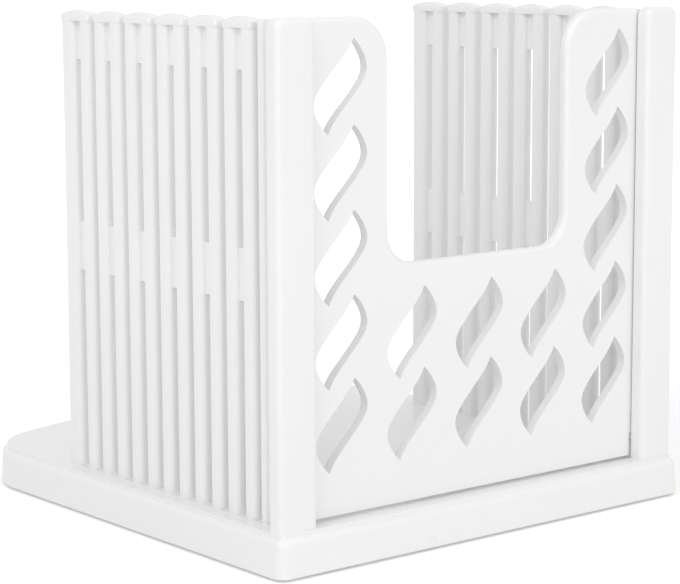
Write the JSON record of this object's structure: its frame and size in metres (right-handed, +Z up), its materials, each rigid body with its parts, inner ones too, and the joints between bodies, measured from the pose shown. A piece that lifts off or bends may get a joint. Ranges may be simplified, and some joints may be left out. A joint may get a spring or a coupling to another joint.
{
  "type": "bread slicer guide",
  "caption": "Bread slicing guide: a flat base with a rounded open end, slotted comb walls that plug in on both sides, and a fold-back stop panel with leaf cut-outs.",
  "frame": {"origin": "middle of the footprint, on the surface the rubber feet stand on", "axes": "+Z up; -Y towards the stop panel's end, +Y towards the open rounded end that the loaf sticks out of; +X across, from the left comb wall to the right one, seen from the stop panel's end"},
  "size_m": [0.161, 0.177, 0.155],
  "materials": {
    "white_plastic": "gloss white moulded",
    "foot_rubber": "matt black rubber"
  },
  "bodies": {
    "board": {"base": "white_plastic", "front_left_foot": "foot_rubber", "front_right_foot": "foot_rubber", "rear_left_foot": "foot_rubber", "rear_right_foot": "foot_rubber"},
    "left_wall": {"left_comb_wall": "white_plastic"},
    "right_wall": {"right_comb_wall": "white_plastic"},
    "stop_panel": {"leaf_stop_panel": "white_plastic"}
  },
  "joints": [
    {"name": "panel_fold", "type": "hinge", "parent": "board", "child": "stop_panel", "pos_m": [0, -0.0796, 0.016], "axis": [-1, 0, 0], "range_deg": [0, 90]},
    {"name": "left_wall_lift", "type": "slide", "parent": "board", "child": "left_wall", "axis": [0, 0, 1], "range_m": [0, 0.04]},
    {"name": "right_wall_lift", "type": "slide", "parent": "board", "child": "right_wall", "axis": [0, 0, 1], "range_m": [0, 0.04]}
  ]
}
